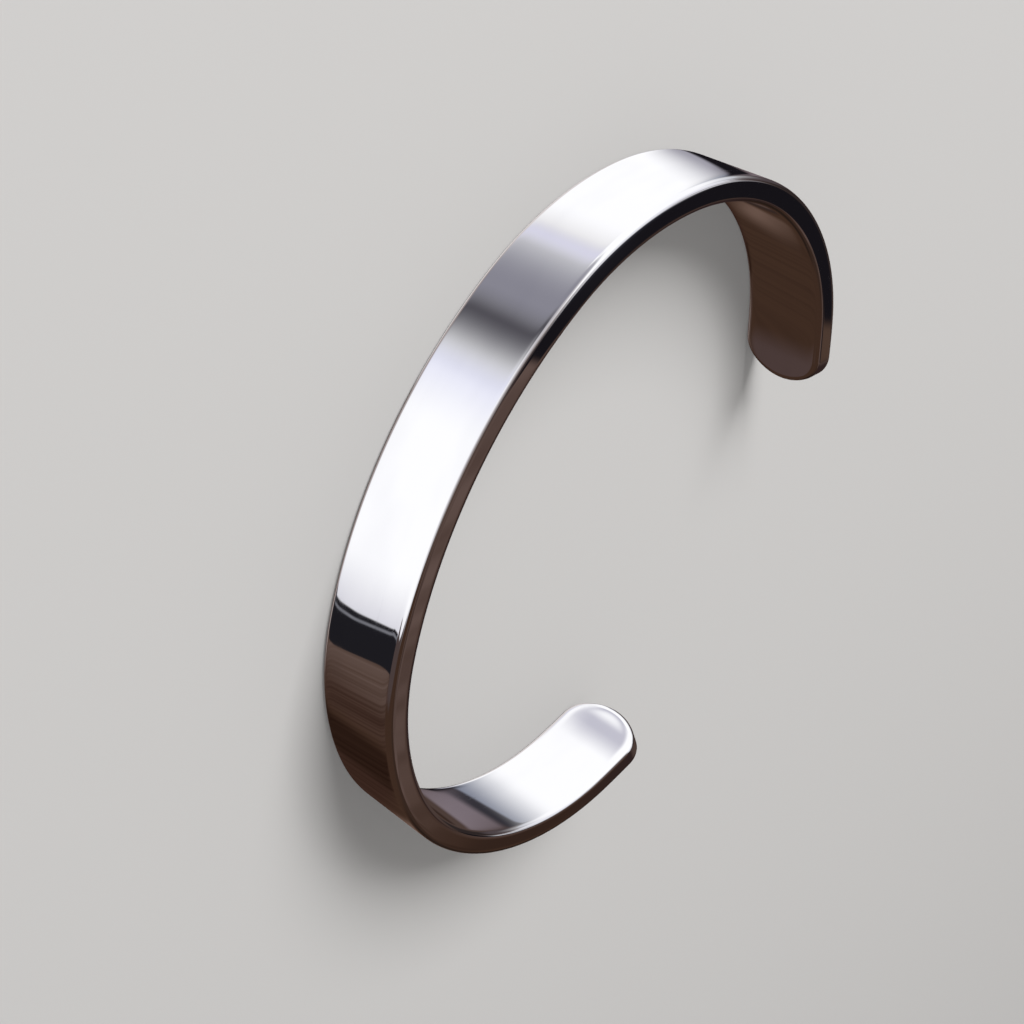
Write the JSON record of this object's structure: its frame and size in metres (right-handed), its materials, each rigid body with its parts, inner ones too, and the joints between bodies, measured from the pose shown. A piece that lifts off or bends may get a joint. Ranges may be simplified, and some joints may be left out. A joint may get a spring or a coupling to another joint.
{
  "type": "open cuff bangle",
  "caption": "Open oval cuff bangle bent from one flat, mirror-polished steel bar with softened edges and rounded tips.",
  "frame": {"origin": "on the surface that the cuff rests on, under the middle of its outline seen from above", "axes": "+Z along the wrist and up, as the cuff lies on its lower rim; +X across the wide way of the oval; +Y towards the back of the cuff, so the mouth between the tips opens towards -Y"},
  "size_m": [0.0606, 0.0416, 0.008],
  "materials": {
    "polished_steel": "mirror polish with fine wear"
  },
  "bodies": {
    "root": {"cuff": "polished_steel"}
  },
  "joints": []
}
